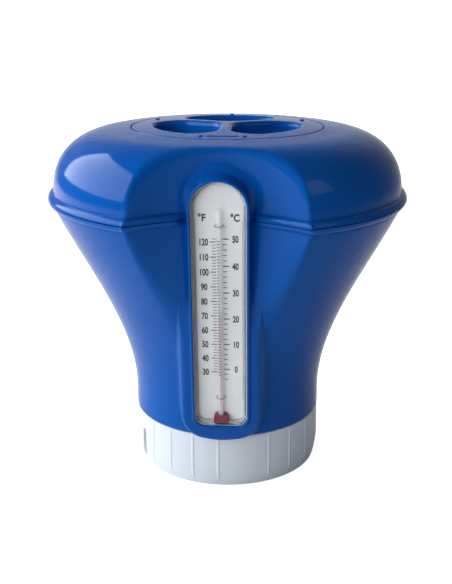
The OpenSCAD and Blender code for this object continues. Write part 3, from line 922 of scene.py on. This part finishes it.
def text_mesh(words, height, narrow, x, up):
    """Letters as a thin solid: the font's outlines filled and thickened, then put on the scale."""
    curve = bpy.data.curves.new("letters", "FONT")
    curve.body = words
    curve.size = height / 0.72
    curve.align_x = "CENTER"
    curve.offset = 0.046 * height
    curve.extrude = INK_T / 2
    curve.resolution_u = 4
    holder = bpy.data.objects.new("letters", curve)
    mesh = bpy.data.meshes.new_from_object(holder)
    bpy.data.objects.remove(holder)
    bpy.data.curves.remove(curve)
    mesh.calc_loop_triangles()
    flat = np.empty(len(mesh.vertices) * 3, np.float32)
    mesh.vertices.foreach_get("co", flat)
    flat = flat.reshape(-1, 3)
    triangles = np.empty(len(mesh.loop_triangles) * 3, np.int32)
    mesh.loop_triangles.foreach_get("vertices", triangles)
    bpy.data.meshes.remove(mesh)
    depth = PLATE_FRONT - INK_T / 2 - flat[:, 2]
    return on_face(flat[:, 0] * narrow + x, depth, flat[:, 1] - height / 2 + up), triangles.reshape(-1, 3)


def tick(x0, x1, up, thick):
    """A printed line as a thin block from x0 to x1."""
    corners, sides = block((0, -thick / 2, PLATE_FRONT - INK_T), (1, thick / 2, PLATE_FRONT + 0.02))
    x = x0 + (x1 - x0) * corners[:, 0]
    return on_face(x, corners[:, 2], up + corners[:, 1]), sides


def tube_mark(start, end, up, thick):
    """A printed line on the front of the glass tube, between two angles in degrees from its front."""
    low, high = up - thick / 2, up + thick / 2
    inner, outer = TUBE_GLASS_R - 0.03, TUBE_GLASS_R + 0.03
    profile = [(inner, low), (outer, low), (outer, high), (inner, high)]
    points, faces = turned_part(profile, math.radians(start), math.radians(end), 6)
    return on_face(points[:, 0], TUBE_DEPTH + points[:, 1], points[:, 2]), faces


class POOL_OT_scale(Operator):
    """Print the two scales: lines, numbers and the signs of the units. Also paints two dark lines of shade
    by the cover's walls.
    """
    bl_idname = "pool.scale"
    bl_label = "Printed scale"

    def execute(self, context):
        settings = context.scene.pool_scale
        quads, letters = [], []
        for degree in range(-4, 51, 2):
            up = ZERO_UP + degree * DEGREE
            major = degree % 10 == 0
            quads.append(tick(1.5, 4.1 if major else 3.2, up, 0.46 if major else 0.32))
            if major:
                letters.append(text_mesh(str(degree), 3.1, 0.62, 6.8, up))
        for degree in range(30, 123, 2):
            up = ZERO_UP + (degree - 32) / 1.8 * DEGREE
            major = degree % 10 == 0
            quads.append(tick(-4.0 if major else -3.1, -1.4, up, 0.42 if major else 0.28))
            quads.append(tube_mark(-44, 14, up, 0.42))
            if major:
                letters.append(text_mesh(str(degree), 3.1, 0.64, -6.7, up))
        for x in (-10.45, 10.1):                            # painted shade: two dark lines where the cover's side walls shade the plate
            corners, sides = block((x - 0.13, 12, PLATE_FRONT - INK_T), (x + 0.13, 98.5, PLATE_FRONT + 0.02))
            quads.append((on_face(corners[:, 0], corners[:, 2], corners[:, 1]), sides))
        letters.append(text_mesh("°F", 3.3, 0.85, -7.2, 99.8))
        letters.append(text_mesh("°C", 3.3, 0.8, 6.7, 99.8))
        ink = ink_material(settings.ink)
        points, faces = join(quads)
        # the printed lines and the two dark lines of painted shade, in one piece
        make_piece("scale_lines_and_painted_shade", points, faces, ink, "root")
        points, faces = join(letters)
        make_piece("scale_numbers", points, faces, ink, "root", weld=0.001)
        return {"FINISHED"}


class POOL_OT_finishes(Operator):
    """Give the CAD pieces that stay in view or inside their own finishes"""
    bl_idname = "pool.finishes"
    bl_label = "Finishes of the CAD pieces"

    def execute(self, context):
        scale, ring = context.scene.pool_scale, context.scene.pool_ring
        rubber, steel = rubber_material(), steel_material()
        white, card = ring_material(ring.colour), card_material(scale.plate)
        finishes = {
            "seam_gasket": rubber, "tube_top_seal": rubber, "tube_base_seal": rubber, "drag_band": rubber,
            "lid_seal": rubber, "window_gasket": card, "ballast_ring": steel, "tube_clips": wire_material(),
            "chamber_tube": white, "base_grate": white, "case_back": card, "scale_plate": card,
            "glass_tube": glass_material(), "red_liquid": spirit_material(scale.spirit),
            "bulb_cap": cap_material(),
        }
        for node, material in finishes.items():
            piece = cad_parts[node]
            if not piece.material_slots:
                piece.data.materials.append(material)
            for place in piece.material_slots:
                place.material = material
        return {"FINISHED"}


# ---------------------------------------------------------------- materials

def node(tree, kind, settings=None, **inputs):
    """Adds a shader node. An input, by name or as i and its number, is a value or a socket to link."""
    made = tree.nodes.new(kind)
    for name, value in (settings or {}).items():
        setattr(made, name, value)
    for name, value in inputs.items():
        numbered = name[0] == "i" and name[1:].isdigit()
        socket = made.inputs[int(name[1:]) if numbered else name]
        if isinstance(value, bpy.types.NodeSocket):
            tree.links.new(value, socket)
        else:
            socket.default_value = value
    return made


def maths(tree, operation, a, b=0.0, clamp=False):
    """One arithmetic step on values or sockets."""
    return node(tree, "ShaderNodeMath", {"operation": operation, "use_clamp": clamp}, i0=a, i1=b).outputs[0]


def shared_group(name, inputs, outputs):
    """A node group with named sockets, each given as (name, kind, default)."""
    tree = bpy.data.node_groups.new(name, "ShaderNodeTree")
    for label, kind, value in inputs:
        made = tree.interface.new_socket(label, in_out="INPUT", socket_type=kind)
        made.default_value = value
    for label, kind, _ in outputs:
        tree.interface.new_socket(label, in_out="OUTPUT", socket_type=kind)
    return tree, tree.nodes.new("NodeGroupInput"), tree.nodes.new("NodeGroupOutput")


def moulded_group():
    """Moulded plastic: slow tint changes, fine grain, and short faint rubbing marks."""
    name = "moulded plastic"
    if name in bpy.data.node_groups:
        return bpy.data.node_groups[name]
    colour, number = "NodeSocketColor", "NodeSocketFloat"
    tree, given, out = shared_group(
        name, [("Colour", colour, (0.5, 0.5, 0.5, 1)), ("Tint change", number, 0.1),
               ("Roughness", number, 0.3), ("Grain size", number, 900.0), ("Marks", number, 0.3)],
        [("Colour", colour, None), ("Roughness", number, None), ("Height", number, None)])
    place = node(tree, "ShaderNodeTexCoord").outputs["Object"]
    slow = node(tree, "ShaderNodeTexNoise", Vector=place, Scale=28.0, Detail=2.0).outputs[0]
    grain = given.outputs["Grain size"]
    fine = node(tree, "ShaderNodeTexNoise", Vector=place, Scale=grain, Detail=2.0).outputs[0]
    slanted = node(tree, "ShaderNodeMapping", Vector=place, Rotation=(0.4, 0.3, 0.9), Scale=(1.0, 14.0, 5.0))
    marks = node(tree, "ShaderNodeTexNoise", Vector=slanted.outputs[0], Scale=90.0, Detail=4.0,
                 Roughness=0.65).outputs[0]
    marks = node(tree, "ShaderNodeMapRange", Value=marks, i1=0.58, i2=0.72).outputs[0]
    tint = maths(tree, "MULTIPLY_ADD", maths(tree, "SUBTRACT", slow, 0.5), given.outputs["Tint change"])
    tree.nodes[-1].inputs[2].default_value = 1.0
    speck = maths(tree, "MULTIPLY", maths(tree, "SUBTRACT", fine, 0.5), 0.05)
    tint = maths(tree, "ADD", tint, speck)
    plain = given.outputs["Colour"]
    mixed = node(tree, "ShaderNodeVectorMath", {"operation": "SCALE"}, i0=plain, Scale=tint)
    tree.links.new(mixed.outputs[0], out.inputs["Colour"])
    rubbed = maths(tree, "MULTIPLY", marks, given.outputs["Marks"])
    rough = maths(tree, "ADD", given.outputs["Roughness"], maths(tree, "MULTIPLY", rubbed, 0.22))
    uneven = maths(tree, "MULTIPLY", maths(tree, "SUBTRACT", slow, 0.5), 0.12)
    rough = maths(tree, "ADD", rough, uneven, True)
    tree.links.new(rough, out.inputs["Roughness"])
    height = maths(tree, "SUBTRACT", fine, maths(tree, "MULTIPLY", rubbed, 0.3))
    tree.links.new(height, out.inputs["Height"])
    return tree


def new_material(name):
    """A new material, its tree and its Principled shader."""
    material = bpy.data.materials.new(name)
    material.use_nodes = True
    tree = material.node_tree
    return material, tree, tree.nodes["Principled BSDF"]


def plastic(name, colour, roughness, tint, grain, marks, bump, ior=1.5, sheen=0.5):
    """A material of moulded plastic with its own colour, grain and gloss."""
    if name in bpy.data.materials:
        return bpy.data.materials[name]
    material, tree, shader = new_material(name)
    made = node(tree, "ShaderNodeGroup", {"node_tree": moulded_group()})
    made.inputs["Colour"].default_value = (*colour, 1)
    made.inputs["Tint change"].default_value = tint
    made.inputs["Roughness"].default_value = roughness
    made.inputs["Grain size"].default_value = grain
    made.inputs["Marks"].default_value = marks
    raised = node(tree, "ShaderNodeBump", Height=made.outputs["Height"], Strength=0.35, Distance=bump)
    tree.links.new(made.outputs["Colour"], shader.inputs["Base Color"])
    tree.links.new(made.outputs["Roughness"], shader.inputs["Roughness"])
    tree.links.new(raised.outputs[0], shader.inputs["Normal"])
    shader.inputs["IOR"].default_value = ior
    shader.inputs["Specular IOR Level"].default_value = sheen
    return material


def shell_material(colour):
    """Glossy dyed polypropylene."""
    return plastic("blue_gloss", colour, roughness=0.1, tint=0.16, grain=700.0, marks=0.3,
                   bump=0.000006, sheen=0.16)


def ring_material(colour):
    """Satin off-white plastic."""
    return plastic("off_white_satin", colour, roughness=0.42, tint=0.08, grain=1100.0, marks=0.4,
                   bump=0.00003)


def card_material(colour):
    """The scale's plate: flat satin plastic whose tone changes a little from place to place."""
    return plastic("scale_card", colour, roughness=0.5, tint=0.14, grain=1500.0, marks=0.15,
                   bump=0.00001)


def ink_material(colour):
    """Screen-printed ink, a little uneven."""
    return plastic("scale_ink", colour, roughness=0.55, tint=0.5, grain=2500.0, marks=0.1,
                   bump=0.00001)


def cap_material():
    """Dark red moulded plastic."""
    return plastic("red_cap_plastic", (0.16, 0.008, 0.02), roughness=0.3, tint=0.3, grain=1500.0,
                   marks=0.2, bump=0.00002)


def rubber_material():
    """Black rubber with a matte bloom."""
    return plastic("seal_rubber", (0.028, 0.028, 0.03), roughness=0.62, tint=0.5, grain=1600.0,
                   marks=0.5, bump=0.00004)


def spirit_material(colour):
    """Dyed spirit."""
    return plastic("red_spirit", colour, roughness=0.12, tint=0.15, grain=2500.0, marks=0.0,
                   bump=0.000005, ior=1.36)


def metal(name, colour, roughness, stretch):
    """A metal with lines drawn along it, as colour and roughness that change across the lines."""
    if name in bpy.data.materials:
        return bpy.data.materials[name]
    material, tree, shader = new_material(name)
    place = node(tree, "ShaderNodeTexCoord").outputs["Object"]
    lines = node(tree, "ShaderNodeMapping", Vector=place, Scale=stretch).outputs[0]
    grain = node(tree, "ShaderNodeTexNoise", Vector=lines, Scale=400.0, Detail=3.0).outputs[0]
    tone = node(tree, "ShaderNodeMix", {"data_type": "RGBA"}, i0=grain)
    tone.inputs[6].default_value = (*(0.75 * v for v in colour), 1)
    tone.inputs[7].default_value = (*colour, 1)
    tree.links.new(tone.outputs[2], shader.inputs["Base Color"])
    gloss = node(tree, "ShaderNodeMapRange", Value=grain, i3=roughness - 0.08, i4=roughness + 0.12)
    tree.links.new(gloss.outputs[0], shader.inputs["Roughness"])
    tree.links.new(node(tree, "ShaderNodeBump", Height=grain, Strength=0.3, Distance=0.00002).outputs[0],
                   shader.inputs["Normal"])
    shader.inputs["Metallic"].default_value = 1.0
    return material


def steel_material():
    """Zinc-plated steel."""
    return metal("ballast_zinc", (0.47, 0.48, 0.50), roughness=0.38, stretch=(1, 1, 6))


def wire_material():
    """Drawn stainless wire, dulled."""
    return metal("clip_wire", (0.07, 0.065, 0.06), roughness=0.35, stretch=(8, 1, 1))


def clear(name, tint, roughness, ior):
    """Clear glass or plastic. Lamps shine through it, so that it casts no dark shadow."""
    if name in bpy.data.materials:
        return bpy.data.materials[name]
    material, tree, shader = new_material(name)
    shader.inputs["Base Color"].default_value = (*tint, 1)
    shader.inputs["Metallic"].default_value = 0.0
    shader.inputs["Transmission Weight"].default_value = 1.0
    shader.inputs["IOR"].default_value = ior
    place = node(tree, "ShaderNodeTexCoord").outputs["Object"]
    film = node(tree, "ShaderNodeTexNoise", Vector=place, Scale=160.0, Detail=3.0).outputs[0]
    tree.links.new(node(tree, "ShaderNodeMapRange", Value=film, i3=roughness, i4=2 * roughness).outputs[0],
                   shader.inputs["Roughness"])
    wave = node(tree, "ShaderNodeTexNoise", Vector=place, Scale=60.0, Detail=1.0).outputs[0]
    tree.links.new(node(tree, "ShaderNodeBump", Height=wave, Strength=0.05, Distance=0.0002).outputs[0],
                   shader.inputs["Normal"])
    passing = node(tree, "ShaderNodeBsdfTransparent", Color=(*(0.96 * v for v in tint), 1))
    mix = node(tree, "ShaderNodeMixShader", i0=node(tree, "ShaderNodeLightPath").outputs["Is Shadow Ray"],
               i1=shader.outputs[0], i2=passing.outputs[0])
    tree.links.new(mix.outputs[0], tree.nodes["Material Output"].inputs["Surface"])
    return material


def cover_material():
    """Clear moulded plastic."""
    return clear("cover_plastic", (0.98, 0.99, 1.0), roughness=0.02, ior=1.22)


def glass_material():
    """Drawn glass."""
    return clear("tube_glass", (0.97, 0.99, 0.99), roughness=0.0, ior=1.04)


def floor_material(colour):
    """Pale matte floor with a trace of unevenness. It glows a little where it is looked at straight."""
    material = plastic("pale_floor", colour, roughness=0.75, tint=0.02, grain=60.0, marks=0.0,
                       bump=0.00005, sheen=0.1)
    tree = material.node_tree
    shader = tree.nodes["Principled BSDF"]
    seen = node(tree, "ShaderNodeLightPath").outputs["Is Camera Ray"]
    shader.inputs["Emission Color"].default_value = (0.97, 0.98, 1.0, 1)
    tree.links.new(maths(tree, "MULTIPLY", seen, 0.85), shader.inputs["Emission Strength"])
    return material


# ---------------------------------------------------------------- stage

def lamp(name, place, aim, size, power):
    """A soft rectangular lamp that points at a place."""
    light = bpy.data.lights.new(name, "AREA")
    light.shape = "RECTANGLE"
    light.size, light.size_y = size
    light.energy = power
    holder = bpy.data.objects.new(name, light)
    run = np.array(aim) - np.array(place)
    run /= np.linalg.norm(run)
    holder.location = place
    holder.rotation_euler = Euler((math.acos(-run[2]), 0, math.atan2(run[0], -run[1]) + math.pi))
    bpy.context.scene.collection.objects.link(holder)
    return holder


class POOL_OT_stage(Operator):
    """Set the floor, the backdrop, the lamps and the camera"""
    bl_idname = "pool.stage"
    bl_label = "Stage"

    def execute(self, context):
        settings = context.scene.pool_stage
        scene = context.scene
        # floor and backdrop: one sheet, flat, then a quarter turn, then upright
        s, c = quarter(24)
        run = np.concatenate([[[-2200.0, 0.0], [-600.0, 0.0], [0.0, 0.0], [900.0, 0.0]],
                              np.stack([900 + 700 * s, 700 - 700 * c], 1), [[1600, 2600]]])
        x = np.linspace(-2600, 2600, 27)[:, None]
        y, z = run[:, 0][None], run[:, 1][None]
        points = np.stack([x + 0 * y, y + 0 * x, z + 0 * x], -1).reshape(-1, 3) * MM
        mesh = bpy.data.meshes.new("pale_sheet")
        mesh.from_pydata(points.tolist(), [], grid_faces(27, len(run)).tolist())
        mesh.shade_smooth()
        mesh.materials.append(floor_material(settings.floor))
        sheet = bpy.data.objects.new("pale_sheet", mesh)
        scene.collection.objects.link(sheet)
        lamp("softbox_left", (-1.0, 0.1, 0.62), (0, 0, 0.12), (1.5, 0.85), 18)
        lamp("softbox_right", (0.95, -0.45, 0.75), (0, 0, 0.12), (0.4, 0.5), 0.6)
        above = lamp("overhead", (-0.5, 0.9, 0.8), (0, 0, 0.12), (1.1, 0.5), 5)
        fill = lamp("fill_front", (-0.65, -1.0, 0.4), (0, 0, 0.1), (0.9, 0.9), 6.8)
        above.visible_glossy = fill.visible_glossy = False
        world = bpy.data.worlds.new("pale_room")
        world.use_nodes = True
        world.node_tree.nodes["Background"].inputs["Color"].default_value = (0.95, 0.97, 1.0, 1)
        # dim as a light, pale where it is looked at straight
        seen = node(world.node_tree, "ShaderNodeLightPath").outputs["Is Camera Ray"]
        dim = node(world.node_tree, "ShaderNodeMapRange", Value=seen, i3=0.12, i4=1.0)
        world.node_tree.links.new(dim.outputs[0], world.node_tree.nodes["Background"].inputs["Strength"])
        scene.world = world
        scene.view_settings.view_transform = "Standard"
        camera = bpy.data.cameras.new("camera")
        camera.sensor_width = 36.0
        camera.sensor_fit = "AUTO"
        camera.lens = settings.lens
        camera.shift_x, camera.shift_y = settings.shift
        camera.clip_start, camera.clip_end = 0.01, 20
        holder = bpy.data.objects.new("camera", camera)
        away, a = settings.distance, settings.turn
        holder.location = (away * math.sin(a), -away * math.cos(a), settings.height)
        holder.rotation_euler = Euler((math.pi / 2 - settings.pitch, 0, a))
        scene.collection.objects.link(holder)
        scene.camera = holder
        return {"FINISHED"}


# ---------------------------------------------------------------- panel and run

STEPS = (POOL_OT_shells, POOL_OT_housing, POOL_OT_lid, POOL_OT_ring, POOL_OT_cover, POOL_OT_scale,
         POOL_OT_finishes, POOL_OT_stage)
GROUPS = {"pool_float": FloatSettings, "pool_lid": LidSettings, "pool_ring": RingSettings,
          "pool_scale": ScaleSettings, "pool_stage": StageSettings}


class POOL_PT_panel(Panel):
    """Lists the sizes, the colours and the steps"""
    bl_idname = "POOL_PT_panel"
    bl_label = "Pool thermometer"
    bl_space_type = "VIEW_3D"
    bl_region_type = "UI"
    bl_category = "Pool"

    def draw(self, context):
        for name, group in GROUPS.items():
            box = self.layout.box()
            for field in group.__annotations__:
                box.prop(getattr(context.scene, name), field)
        for step in STEPS:
            self.layout.operator(step.bl_idname)


CLASSES = (*GROUPS.values(), *STEPS, POOL_PT_panel)


def register():
    for made in CLASSES:
        bpy.utils.register_class(made)
    for name, group in GROUPS.items():
        setattr(bpy.types.Scene, name, PointerProperty(type=group))


def unregister():
    for name in GROUPS:
        delattr(bpy.types.Scene, name)
    for made in reversed(CLASSES):
        bpy.utils.unregister_class(made)


def main():
    """Registers the add-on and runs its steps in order."""
    register()
    bpy.ops.pool.shells()
    bpy.ops.pool.housing()
    bpy.ops.pool.lid()
    bpy.ops.pool.ring()
    bpy.ops.pool.cover()
    bpy.ops.pool.scale()
    bpy.ops.pool.finishes()
    bpy.ops.pool.stage()


if __name__ == "__main__":
    main()
